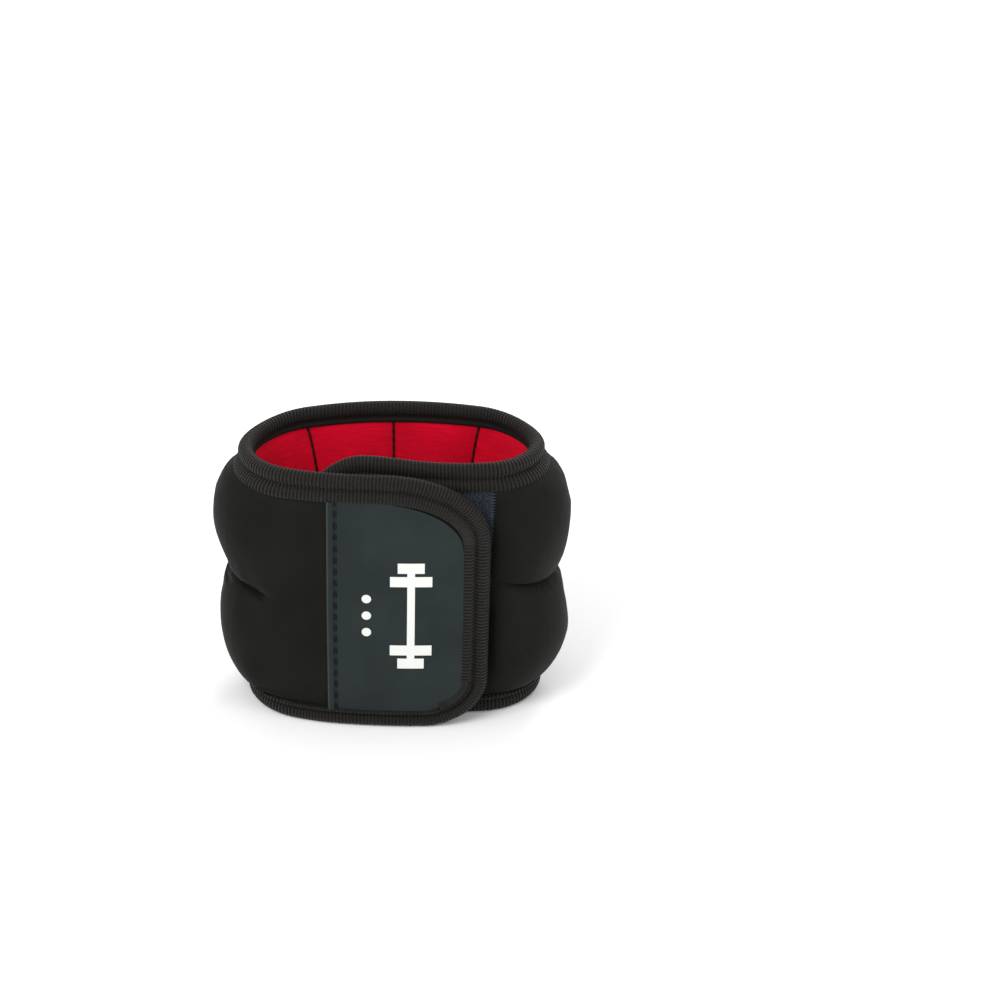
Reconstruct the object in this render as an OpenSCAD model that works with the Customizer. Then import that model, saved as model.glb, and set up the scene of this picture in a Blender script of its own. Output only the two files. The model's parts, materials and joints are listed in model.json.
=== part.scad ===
// Ankle cuff weight: a padded strip of six filled channels that closes into a cuff.
// The strip stands on its lower edge, with the closing flap at the front (-Y).
// Each stretch of the strip is one arc of its plan, and stands on its own hinge seams.

/* [Strip] */
// Height of the cuff, which is the width of the strip
cuff_h = 90; // [80:1:100]
// Length of one weight channel between its cross seams
channel_l = 28; // [26:0.5:30]
// Length of the unfilled root between the last channel and the label
root_l = 15; // [14:0.5:16]
// Length of the closing flap, from the label seam to its tip
flap_l = 50; // [46:1:50]
// Length of the landing end that the flap closes on
landing_l = 60; // [50:1:60]
// Space between one stretch of the strip and the next
seam_gap = 0.3; // [0.2:0.1:0.5]

/* [Plan of the closed cuff] */
// Turn of each back channel on the flap's side
back_left_turn = 6; // [5:1:7]
// Turn of the side channel on the flap's side
side_left_turn = 78; // [77:1:79]
// Turn of the front channel on the flap's side
front_left_turn = 76; // [75:1:77]
// Turn of the flap root
root_turn = 12; // [11:1:13]
// Turn of the flap
flap_turn = 16; // [14:1:18]
// Turn of the back channel on the landing's side
back_right_turn = 3; // [2:1:4]
// Turn of the side channel on the landing's side
side_right_turn = 83; // [82:1:84]
// Turn of the front channel on the landing's side
front_right_turn = 88; // [87:1:89]
// Turn of the landing end
landing_turn = 14; // [13:1:16]

/* [Fabric and filling] */
// Thickness of the neoprene cover and of the lining
skin_t = 1.2; // [1:0.1:1.5]
// Width and thickness of the rolled edge binding
binding_d = 5; // [4:0.5:5]
// How far a filled channel swells outwards at its middle
swell_out = 8.5; // [5:0.5:9]
// How far a filled channel swells inwards at its middle
swell_in = 2.2; // [1:0.1:2.5]
// Radius of the round corners of the flap and the landing
corner_r = 18; // [12:1:24]

/* [Closure and label] */
// Thickness of the hook patch and of the loop patch
fastener_t = 1.3; // [1:0.1:1.3]
// Height of the hook patch and of the loop patch
fastener_h = 70; // [60:1:76]
// Thickness of the label patch
label_t = 0.8; // [0.6:0.1:1]
// Height of the printed mark on the label
mark_h = 38; // [26:1:44]
// Number of stitches in the row beside the label
stitch_count = 22; // [12:1:26]

/* [Hidden] */
$fn = 48;

// Place of the back seam, which puts the middle of the closed cuff over the origin
back_seam = [0.5, 20];

// Each stretch is [length, turn], from the back seam round to the strip's end
left = [[channel_l, back_left_turn], [channel_l, side_left_turn],
        [channel_l, front_left_turn], [root_l, root_turn], [flap_l, flap_turn]];
right = [[channel_l, back_right_turn], [channel_l, side_right_turn],
         [channel_l, front_right_turn], [landing_l, landing_turn]];
BACK = 0;
SIDE = 1;
FRONT = 2;
ROOT = 3;
FLAP = 4;
LANDING = 3;

// Layers of the strip, as distances outwards from its middle surface
cover_out = 1.6;
lining_in = -1.6;
hook_in = lining_in - fastener_t;
loop_out = cover_out + fastener_t;
label_out = cover_out + label_t;

// Edges and seams
binding_r = binding_d / 2;
binding_foot = 3;
panel_low = binding_d;
panel_high = cuff_h - panel_low;
crease_z = cuff_h / 2;
crease_half = 1.5;
pouch_end = 0.07;
pouch_core = 0.85;
grid_u = 6;
grid_v = 14;
label_edge = 41;
stitch = [0.7, 0.6, 1.9];
mark_bar = 2.4;
mark_at = 25;
mark_side = 14;

black = [0.06, 0.06, 0.06];
slate = [0.16, 0.18, 0.19];
red = [0.72, 0.03, 0.08];

function radius(stretch) = stretch[0] / (stretch[1] * PI / 180);
function turned(heading, p) = [
    p[0] * cos(heading) - p[1] * sin(heading),
    p[0] * sin(heading) + p[1] * cos(heading)
];
function step(stretch) = radius(stretch) * [sin(stretch[1]), 1 - cos(stretch[1])];
function heading_at(chain, i) = i == 0 ? 180 : heading_at(chain, i - 1) + chain[i - 1][1];
function start_at(chain, i) = i == 0 ? [0, 0]
    : start_at(chain, i - 1) + turned(heading_at(chain, i - 1), step(chain[i - 1]));

// A point of a stretch: share along it, distance outwards from its middle surface, height
function place(stretch, share, out, z) =
    let (r = radius(stretch), a = stretch[1] * share)
    [(r + out) * sin(a), r - (r + out) * cos(a), z];

// Two rows of filling make two swells, one above the other
function row(b) = pow(abs(sin(360 * b)), 0.6);
function across(a) = sin(180 * a);

// Stands its children on stretch i of the left or the right half of the strip
module left_stretch(i) {
    translate([back_seam[0], back_seam[1], 0])
        translate(start_at(left, i))
            rotate(heading_at(left, i))
                children();
}

module right_stretch(i) {
    translate([back_seam[0], back_seam[1], 0])
        mirror([1, 0, 0])
            translate(start_at(right, i))
                rotate(heading_at(right, i))
                    children();
}

// Sweeps a flat profile, drawn as [distance outwards, height], along a stretch
module sweep(stretch) {
    r = radius(stretch);
    trim = seam_gap / 2 / r * 180 / PI;
    translate([0, r, 0])
        rotate(-90 + trim)
            rotate_extrude(angle = stretch[1] - 2 * trim, $fn = 180)
                translate([r, 0])
                    children();
}

module layer(stretch, low, high, from, to) {
    sweep(stretch)
        translate([from, low])
            square([to - from, high - low]);
}

// A closed sheet between two skins, each a function of the shares along and up
module quilt(stretch, ends, low, high, outer, inner) {
    points = [
        for (skin = [outer, inner], j = [0 : grid_v], i = [0 : grid_u])
            let (a = i / grid_u, b = j / grid_v)
            place(stretch, ends + (1 - 2 * ends) * a, skin(a, b), low + (high - low) * b)
    ];
    n = grid_u + 1;
    back = n * (grid_v + 1);
    sheets = [
        for (j = [0 : grid_v - 1], i = [0 : grid_u - 1])
            let (p = j * n + i)
            each [[p, p + n, p + n + 1], [p, p + n + 1, p + 1],
                  [back + p, back + p + n + 1, back + p + n],
                  [back + p, back + p + 1, back + p + n + 1]]
    ];
    hems = [
        for (i = [0 : grid_u - 1])
            let (p = i, q = grid_v * n + i)
            each [[p, p + 1, back + p + 1], [p, back + p + 1, back + p],
                  [q, back + q + 1, q + 1], [q, back + q, back + q + 1]]
    ];
    sides = [
        for (j = [0 : grid_v - 1])
            let (p = j * n, q = j * n + grid_u)
            each [[p, back + p + n, p + n], [p, back + p, back + p + n],
                  [q, q + n, back + q + n], [q, back + q + n, back + q]]
    ];
    polyhedron(points, concat(sheets, hems, sides));
}

function trim_share(stretch) = seam_gap / 2 / stretch[0];

// The black outer skin of one filled channel
module cover(stretch) {
    outer = function (a, b) cover_out + swell_out * across(a) * row(b);
    inner = function (a, b) outer(a, b) - skin_t;
    color(black)
        quilt(stretch, trim_share(stretch), panel_low, panel_high, outer, inner);
}

// The red inner skin of one filled channel
module lining(stretch) {
    inner = function (a, b) lining_in - swell_in * across(a) * row(b);
    outer = function (a, b) inner(a, b) + skin_t;
    color(red)
        quilt(stretch, trim_share(stretch), panel_low, panel_high, outer, inner);
}

// A sealed bag of iron sand that fills one row of one channel
module pouch(stretch, low, high) {
    swell = function (a, b) across(a) * pow(sin(180 * b), 0.6);
    outer = function (a, b) 0.05 + pouch_core * swell_out * swell(a, b);
    inner = function (a, b) -0.05 - pouch_core * swell_in * swell(a, b);
    color("dimgray")
        quilt(stretch, pouch_end, low, high, outer, inner);
}

module upper_pouch(stretch) {
    pouch(stretch, crease_z + crease_half, panel_high - crease_half);
}

module lower_pouch(stretch) {
    pouch(stretch, panel_low + crease_half, crease_z - crease_half);
}

// A rolled tape round one edge of the strip, with a flat foot that it stands on
module rolled_edge() {
    translate([0, binding_r])
        circle(d = binding_d);
    translate([-binding_foot / 2, 0])
        square([binding_foot, binding_r]);
}

module binding(stretch) {
    color(black) {
        sweep(stretch)
            rolled_edge();
        sweep(stretch)
            translate([0, cuff_h])
                mirror([0, 1])
                    rolled_edge();
    }
}

// The outline of a free end, seen square on, with round corners at its far side
module end_outline(length, r, inset) {
    l = length - inset;
    low = inset;
    high = cuff_h - inset;
    translate([0, low])
        square([l - r, high - low]);
    translate([l - r - 1, low + r])
        square([r + 1, high - low - 2 * r]);
    for (z = [low + r, high - r])
        translate([l - r, z])
            circle(r = r, $fn = 64);
}

// The straight distance from the start of a stretch to a point along it
function chord(stretch, length) = radius(stretch) * sin(stretch[1] * length / stretch[0]);

module end_cut(stretch, inset) {
    reach = chord(stretch, stretch[0]) - seam_gap;
    translate([0, stretch[0] / 2, 0])
        rotate([90, 0, 0])
            linear_extrude(stretch[0])
                end_outline(reach, corner_r - inset, inset);
}

// One layer of a free end, cut to the rounded outline and set in from its edge
module end_layer(stretch, inset, from, to) {
    intersection() {
        layer(stretch, 0, cuff_h, from, to);
        end_cut(stretch, inset);
    }
}

module end_binding(stretch) {
    color(black)
        difference() {
            end_layer(stretch, 0, -binding_r, binding_r);
            translate([-1, 0, 0])
                end_cut(stretch, binding_d);
            end_cut(stretch, binding_d);
        }
}

// A patch on a free end: a plain oblong that starts and ends along the stretch
module end_patch(stretch, from_l, to_l, high, from, to) {
    half = high / 2;
    intersection() {
        layer(stretch, crease_z - half, crease_z + half, from, to);
        translate([chord(stretch, from_l), -stretch[0] / 2, 0])
            cube([chord(stretch, to_l) - chord(stretch, from_l), stretch[0], cuff_h]);
    }
}

module root_cover() {
    color(black)
        layer(left[ROOT], panel_low, panel_high, cover_out - skin_t, cover_out);
}

module root_lining() {
    color(red)
        layer(left[ROOT], panel_low, panel_high, lining_in, lining_in + skin_t);
}

// Thin foam that keeps the two skins of the root apart
module root_pad() {
    pad = lining_in + skin_t;
    color("gainsboro")
        layer(left[ROOT], panel_low + 2, panel_high - 2, pad + 0.1, -pad - 0.1);
}

module flap_shell() {
    color(black)
        end_layer(left[FLAP], panel_low, 0.1, cover_out);
}

module flap_lining() {
    color(red)
        end_layer(left[FLAP], panel_low, lining_in, -0.1);
}

module hook_patch() {
    color([0.1, 0.1, 0.1])
        end_patch(left[FLAP], 8, 42, fastener_h, hook_in, lining_in);
}

// The smooth label on the outside of the flap, with round corners at its far side
module label_patch() {
    inset = flap_l - label_edge;
    color(slate)
        intersection() {
            layer(left[FLAP], inset, cuff_h - inset, cover_out, label_out);
            end_cut(left[FLAP], inset);
        }
}

// A plain dumbbell printed upright on the label, between its end plates
module dumbbell(length) {
    square([mark_bar, length], center = true);
    for (side = [-1, 1]) {
        translate([0, side * (length / 2 - mark_bar * 0.75)])
            square([mark_bar * 3.5, mark_bar * 1.5], center = true);
        translate([0, side * (length / 2 - mark_bar * 2.75)])
            square([mark_bar * 5.5, mark_bar * 1.5], center = true);
    }
}

// The printed mark: the dumbbell, and a column of three discs beside it
module label_mark() {
    color("whitesmoke")
        intersection() {
            layer(left[FLAP], 0, cuff_h, label_out, label_out + 0.15);
            translate([chord(left[FLAP], mark_at), flap_l / 2, crease_z])
                rotate([90, 0, 0])
                    linear_extrude(flap_l) {
                        dumbbell(mark_h);
                        for (i = [-1, 0, 1])
                            translate([-mark_side, i * mark_bar * 2.5])
                                circle(d = mark_bar * 1.25, $fn = 32);
                    }
        }
}

// The row of stitches that holds the label's straight edge
module label_stitching() {
    pitch = (cuff_h - 2 * binding_d - 4) / stitch_count;
    flap = left[FLAP];
    color("gray")
        for (i = [0 : stitch_count - 1])
            translate(place(flap, 2 / flap_l, label_out + stitch[1] / 2,
                            binding_d + 2 + (i + 0.5) * pitch))
                cube(stitch, center = true);
}

module flap_binding() {
    end_binding(left[FLAP]);
}

module landing_shell() {
    color(black)
        end_layer(right[LANDING], panel_low, 0.1, cover_out);
}

module landing_lining() {
    color(red)
        end_layer(right[LANDING], panel_low, lining_in, -0.1);
}

module loop_patch() {
    color([0.05, 0.06, 0.09])
        end_patch(right[LANDING], 1, landing_l - 10, fastener_h - 10, cover_out, loop_out);
}

module landing_binding() {
    end_binding(right[LANDING]);
}

left_stretch(BACK) cover(left[BACK]);  // back_left_cover
left_stretch(BACK) lining(left[BACK]);  // back_left_lining
left_stretch(BACK) upper_pouch(left[BACK]);  // back_left_upper_pouch
left_stretch(BACK) lower_pouch(left[BACK]);  // back_left_lower_pouch
left_stretch(BACK) binding(left[BACK]);  // back_left_binding
left_stretch(SIDE) cover(left[SIDE]);  // side_left_cover
left_stretch(SIDE) lining(left[SIDE]);  // side_left_lining
left_stretch(SIDE) upper_pouch(left[SIDE]);  // side_left_upper_pouch
left_stretch(SIDE) lower_pouch(left[SIDE]);  // side_left_lower_pouch
left_stretch(SIDE) binding(left[SIDE]);  // side_left_binding
left_stretch(FRONT) cover(left[FRONT]);  // front_left_cover
left_stretch(FRONT) lining(left[FRONT]);  // front_left_lining
left_stretch(FRONT) upper_pouch(left[FRONT]);  // front_left_upper_pouch
left_stretch(FRONT) lower_pouch(left[FRONT]);  // front_left_lower_pouch
left_stretch(FRONT) binding(left[FRONT]);  // front_left_binding
right_stretch(BACK) cover(right[BACK]);  // back_right_cover
right_stretch(BACK) lining(right[BACK]);  // back_right_lining
right_stretch(BACK) upper_pouch(right[BACK]);  // back_right_upper_pouch
right_stretch(BACK) lower_pouch(right[BACK]);  // back_right_lower_pouch
right_stretch(BACK) binding(right[BACK]);  // back_right_binding
right_stretch(SIDE) cover(right[SIDE]);  // side_right_cover
right_stretch(SIDE) lining(right[SIDE]);  // side_right_lining
right_stretch(SIDE) upper_pouch(right[SIDE]);  // side_right_upper_pouch
right_stretch(SIDE) lower_pouch(right[SIDE]);  // side_right_lower_pouch
right_stretch(SIDE) binding(right[SIDE]);  // side_right_binding
right_stretch(FRONT) cover(right[FRONT]);  // front_right_cover
right_stretch(FRONT) lining(right[FRONT]);  // front_right_lining
right_stretch(FRONT) upper_pouch(right[FRONT]);  // front_right_upper_pouch
right_stretch(FRONT) lower_pouch(right[FRONT]);  // front_right_lower_pouch
right_stretch(FRONT) binding(right[FRONT]);  // front_right_binding
left_stretch(ROOT) root_cover();
left_stretch(ROOT) root_lining();
left_stretch(ROOT) root_pad();
left_stretch(ROOT) binding(left[ROOT]);  // root_binding
left_stretch(FLAP) flap_shell();
left_stretch(FLAP) flap_lining();
left_stretch(FLAP) hook_patch();
left_stretch(FLAP) label_patch();
left_stretch(FLAP) label_mark();
left_stretch(FLAP) label_stitching();
left_stretch(FLAP) flap_binding();
right_stretch(LANDING) landing_shell();
right_stretch(LANDING) landing_lining();
right_stretch(LANDING) loop_patch();
right_stretch(LANDING) landing_binding();
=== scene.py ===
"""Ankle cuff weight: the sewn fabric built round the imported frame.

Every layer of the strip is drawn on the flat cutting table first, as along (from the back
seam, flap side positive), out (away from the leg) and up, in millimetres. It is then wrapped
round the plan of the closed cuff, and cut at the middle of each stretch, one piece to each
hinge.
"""
import json
import math

import bmesh
import bpy
import numpy as np
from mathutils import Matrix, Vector


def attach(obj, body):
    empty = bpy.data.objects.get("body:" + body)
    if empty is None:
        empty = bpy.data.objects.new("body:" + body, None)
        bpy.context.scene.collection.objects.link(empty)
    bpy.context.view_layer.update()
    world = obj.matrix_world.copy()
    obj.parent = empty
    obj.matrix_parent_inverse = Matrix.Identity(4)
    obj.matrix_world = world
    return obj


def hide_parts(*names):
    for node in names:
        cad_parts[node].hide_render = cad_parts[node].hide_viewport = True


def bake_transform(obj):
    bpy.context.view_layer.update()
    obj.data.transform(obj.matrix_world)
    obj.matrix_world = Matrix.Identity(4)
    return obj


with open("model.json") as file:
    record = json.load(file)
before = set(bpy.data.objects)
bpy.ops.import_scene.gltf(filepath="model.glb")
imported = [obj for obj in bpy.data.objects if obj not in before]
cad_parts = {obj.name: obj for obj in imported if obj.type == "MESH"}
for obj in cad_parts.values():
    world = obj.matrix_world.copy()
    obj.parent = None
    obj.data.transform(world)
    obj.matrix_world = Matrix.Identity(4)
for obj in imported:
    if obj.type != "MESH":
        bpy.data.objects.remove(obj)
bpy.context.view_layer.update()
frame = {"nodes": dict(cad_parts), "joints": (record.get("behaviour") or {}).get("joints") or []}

MM = 0.001

# ---------------------------------------------------------------- the strip on the table

HEIGHT = 90.0
CHANNEL = 28.0
ROOT = 15.0
FLAP = 50.0
LANDING = 60.0
# Each stretch from the back seam: its body, length and turn in the closed cuff
FLAP_SIDE = [("back_left", CHANNEL, 6), ("side_left", CHANNEL, 78),
             ("front_left", CHANNEL, 76), ("flap_root", ROOT, 12), ("flap", FLAP, 16)]
LANDING_SIDE = [("back_right", CHANNEL, 3), ("side_right", CHANNEL, 83),
                ("front_right", CHANNEL, 88), ("landing", LANDING, 14)]
SEAM = 3 * CHANNEL                  # last channel seam on either side
LABEL_SEAM = SEAM + ROOT
FLAP_TIP = LABEL_SEAM + FLAP
LANDING_TIP = -SEAM - LANDING
# Rounding of the free ends, as (along, up)
FLAP_TOP_CORNER = (34.0, 23.0)
FLAP_FOOT_CORNER = (21.0, 17.0)
LANDING_CORNER = (22.0, 22.0)
LABEL_TOP_CORNER = (29.0, 17.5)
LABEL_FOOT_CORNER = (17.0, 15.0)

FACE = 1.6                          # outer face of the cover, from the middle surface
SKIN = 1.2                          # thickness of the neoprene
ROLL = 2.5                          # radius of the rolled edge
BAND = 9.0                          # reach of the binding on to the outer face
GROOVE = 4.9                        # depth of the groove between its two bands
FOOT_BAND = 6.6                     # reach at the foot, where the lower band is tucked under
INNER_BAND = 6.2                    # and on to the lining
CREASE = 43.8                       # height of the lengthwise seam
LEAN = 0.045                        # the front leans in by this share at the mouth
BACK_OUT = 5.5                      # how far the mouth is rounded out at the back
TAPER = 0.02                        # the foot is this much narrower than the middle
HUMP = 3.2                          # how far the landing end rides up inside the flap
SEAM_BOW = 4.2                      # the lining's seams beside the back bow in this far
FLAP_LEAN = 1.4                     # the flap hangs this far back at its foot
BACK_END, FRONT = 52.0, 72.0        # the sides of the mouth turn into its front between these

BACK_SEAM = Vector(next(j for j in frame["joints"]
                        if j["name"] == "fold_back_right")["pos_m"]) / MM
BACK_SEAM.y -= ROLL


def plan(along):
    """Place and outward direction, seen from above, at distances along from the back seam."""
    along = np.asarray(along, float)
    place = np.zeros(along.shape + (2,))
    outward = np.zeros(along.shape + (2,))
    for side, stretches in ((1, FLAP_SIDE), (-1, LANDING_SIDE)):
        s = along * side
        corner, heading, done = np.zeros(2), math.pi, 0.0
        for k, (_, length, turn) in enumerate(stretches):
            turn = math.radians(turn)
            r = length / turn
            here = (s >= done) if (k or side == 1) else (s > done)
            angle = (s[here] - done) / r
            cos_h, sin_h = math.cos(heading), math.sin(heading)
            px, py = r * np.sin(angle), r - r * np.cos(angle)
            x = corner[0] + px * cos_h - py * sin_h
            y = corner[1] + px * sin_h + py * cos_h
            place[here] = np.stack([x * side, y], -1)
            outward[here] = np.stack([np.sin(heading + angle) * side,
                                      -np.cos(heading + angle)], -1)
            px, py = r * math.sin(turn), r - r * math.cos(turn)
            corner = corner + [px * cos_h - py * sin_h, px * sin_h + py * cos_h]
            heading += turn
            done += length
    place += np.array(BACK_SEAM[:2])
    return place, outward


def step_up(x, low, high):
    """Smooth rise from 0 at low to 1 at high."""
    t = np.clip((np.asarray(x, float) - low) / (high - low), 0, 1)
    return t * t * (3 - 2 * t)


def pulled_along(along, out, up):
    """How far the cloth is pulled along the strip: the lining's bowed seams, and the flap."""
    share = np.clip((up - INNER_BAND) / (HEIGHT - 2 * INNER_BAND), 0, 1)
    beside = np.clip((np.abs(along) - CHANNEL) / (CHANNEL / 2), -1, 1)
    bow = SEAM_BOW * np.sin(np.pi * share) ** 0.8 * np.cos(np.pi / 2 * beside) ** 2
    inward = np.clip(-out / 0.4, 0, 1)
    lean = FLAP_LEAN * (1 - up / HEIGHT) * step_up(along, SEAM, LABEL_SEAM)
    return -np.sign(along) * bow * inward - lean


def wrap(flat):
    """Wraps points of the flat strip (along, out, up) round the closed cuff, in metres."""
    flat = np.asarray(flat, float)
    along, out, up = flat[..., 0], flat[..., 1], flat[..., 2]
    along = along + pulled_along(along, out, up)
    place, outward = plan(along)
    xy = place + outward * out[..., None]
    x, y = xy[..., 0], xy[..., 1]
    level = 1 - 2 * up / HEIGHT
    x = x * (1 - TAPER * np.maximum(level, 0))
    lean = np.where(y < 0, 0.97 + LEAN * level, 1.0)
    rounded = np.clip(1 - (x / 38) ** 2, -0.6, 1) * step_up(y, -4, 20)
    y = y * lean + BACK_OUT * rounded * (0.6 - 0.4 * level)
    rise = HUMP * np.exp(-((along - LANDING_TIP - 21) / 19) ** 2) * (up / HEIGHT) ** 2
    return np.stack([x, y, up + rise], -1) * MM


# ---------------------------------------------------------------- pieces over the hinges

FAR = 1000.0                        # past either end of the strip


def lay_out_zones():
    """One zone to each hinge, with its two bodies and the flat distances it runs between."""
    zones = []
    for side, stretches, done in ((-1, LANDING_SIDE, 0.0), (1, FLAP_SIDE[1:], CHANNEL)):
        before, before_length = FLAP_SIDE[0][:2]
        for body, length, _ in stretches:
            outer = FAR if body in ("landing", "flap") else done + length / 2
            low, high = sorted((side * (done - before_length / 2), side * outer))
            zones.append({"bodies": (before, body), "low": low, "high": high,
                          "hinge": side * done})
            before, before_length = body, length
            done += length
    return zones


ZONES = lay_out_zones()
FOLD_IN = 10.0                      # a free end's run is measured within this far of its hinge


def bend_over(piece, zone):
    """Works out the run between the middles of the zone's two bodies, and bakes the piece's
    transform.
    """
    low, high = zone["low"], zone["high"]
    if low == -FAR:
        low = zone["hinge"] - FOLD_IN
    if high == FAR:
        high = zone["hinge"] + FOLD_IN
    first, second = (low, high) if zone["hinge"] > 0 else (high, low)
    place, outward = plan(np.array([first, second]))
    run = place[1] - place[0]
    run /= np.linalg.norm(run)
    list(zone["bodies"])
    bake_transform(piece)


def zone_name(zone):
    """The name of the body that the zone's hinge swings."""
    return zone["bodies"][1]


def zone_of(body):
    """The zone whose hinge swings this body."""
    return next(zone for zone in ZONES if zone_name(zone) == body)


# ---------------------------------------------------------------- mesh making

def in_scene(name, data):
    made = bpy.data.objects.new(name, data)
    bpy.context.scene.collection.objects.link(made)
    return made


def new_object(name, points, edges, faces):
    mesh = bpy.data.meshes.new(name)
    mesh.from_pydata([tuple(p) for p in points], edges, [tuple(f) for f in faces])
    return in_scene(name, mesh)


def discard(*objects):
    for leftover in objects:
        mesh = leftover.data
        bpy.data.objects.remove(leftover)
        bpy.data.meshes.remove(mesh)


def mesh_piece(name, points, faces, material, flat=None):
    """A mesh object at the origin, with its flat place kept as its UV map."""
    piece = new_object(name, points, [], faces)
    mesh = piece.data
    mesh.validate()
    mesh.materials.append(material)
    mesh.polygons.foreach_set("use_smooth", [True] * len(mesh.polygons))
    if flat is not None:
        uv = mesh.uv_layers.new(name="cloth")
        corner = np.zeros(len(mesh.loops), np.int32)
        mesh.loops.foreach_get("vertex_index", corner)
        uv.data.foreach_set("uv", (np.asarray(flat)[corner][:, [0, 2]] * MM).ravel())
    mesh.update()
    return piece


def crisp(piece, angle=50):
    """Keeps the hard edges of a thin piece out of its smooth shading."""
    piece.data.set_sharp_from_angle(angle=math.radians(angle))


def close_cuts(piece):
    """Closes the open ends that cutting leaves, inside the strip."""
    work = bmesh.new()
    work.from_mesh(piece.data)
    open_edges = [e for e in work.edges if e.is_boundary]
    if open_edges:
        made = bmesh.ops.holes_fill(work, edges=open_edges, sides=0)
        for face in made["faces"]:
            face.smooth = False
        work.to_mesh(piece.data)
        piece.data.update()
    work.free()


def face_middles(flat, faces):
    return np.array([flat[list(f), 0].mean() for f in faces])


def pick(faces, keep):
    """The chosen faces, with only the points that they use."""
    faces = [f for f, k in zip(faces, keep) if k]
    used = np.unique(np.concatenate([np.array(f) for f in faces]))
    renumber = {int(old): new for new, old in enumerate(used)}
    return used, [[renumber[int(i)] for i in f] for f in faces]


def cut_into_zones(label, flat, faces, material, replaced, zones=None,
                   world=None, middles=None, sharp=50):
    """Cuts one layer of the strip at the middle of each stretch, one piece to a hinge."""
    flat = np.asarray(flat, float)
    world = wrap(flat) if world is None else world
    middles = face_middles(flat, faces) if middles is None else middles
    pieces = {}
    for zone in zones or ZONES:
        keep = (middles > zone["low"]) & (middles < zone["high"])
        if not keep.any():
            continue
        used, chosen = pick(faces, keep)
        piece = mesh_piece(f"{label}_{zone_name(zone)}", world[used], chosen, material,
                           flat[used])
        close_cuts(piece)
        crisp(piece, sharp)
        bend_over(piece, zone)
        nodes = [n for body in zone["bodies"] for n in replaced.get(body, ())]
        if nodes:
            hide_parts(*nodes)
        pieces[zone_name(zone)] = piece
    return pieces


def stations(low, high, step):
    """Distances along the strip that always include each hinge and each cut."""
    marks = sorted({low, high} | {
        m for zone in ZONES for m in (zone["low"], zone["high"], zone["hinge"])
        if low < m < high})
    out = [low]
    for a, b in zip(marks, marks[1:]):
        count = max(1, round((b - a) / step))
        out += list(a + (b - a) * np.arange(1, count + 1) / count)
    return np.array(out)


def reach(along, inset, top, corner=None):
    """How far the strip reaches from its middle to its edge, less an inset all round."""
    along = np.asarray(along, float)
    flap_corner = corner or np.subtract(FLAP_TOP_CORNER if top else FLAP_FOOT_CORNER, inset)
    landing_corner = np.subtract(LANDING_CORNER, inset)
    drop = np.zeros_like(along)
    for beyond, (wide, tall) in ((along - (FLAP_TIP - inset) + flap_corner[0], flap_corner),
                                 ((LANDING_TIP + inset) - along + landing_corner[0],
                                  landing_corner)):
        share = np.clip(beyond / wide, 0, 1)
        drop += tall * (1 - np.sqrt(1 - share ** 2))
    return HEIGHT / 2 - inset - drop


def skins(along, up, *outs):
    """The flat points of a layer: the same grid once for each distance out."""
    return np.concatenate([np.stack([along, out, up], -1).reshape(-1, 3) for out in outs])


def grid_faces(columns, rows, offset=0, flip=False):
    faces = []
    for i in range(columns - 1):
        for j in range(rows - 1):
            p = offset + i * rows + j
            quad = [p, p + rows, p + rows + 1, p + 1]
            faces.append(quad[::-1] if flip else quad)
    return faces


def shell(columns, rows):
    """Faces of a closed sheet made of an outer and an inner grid, with its four hems."""
    back = columns * rows
    faces = grid_faces(columns, rows, flip=True) + grid_faces(columns, rows, back)
    for i in range(columns - 1):
        for j, turn in ((0, False), (rows - 1, True)):
            p = i * rows + j
            quad = [p, p + rows, back + p + rows, back + p]
            faces.append(quad[::-1] if turn else quad)
    for i, turn in ((0, True), (columns - 1, False)):
        for j in range(rows - 1):
            p = i * rows + j
            quad = [p, p + 1, back + p + 1, back + p]
            faces.append(quad[::-1] if turn else quad)
    return faces


# ---------------------------------------------------------------- materials

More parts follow.
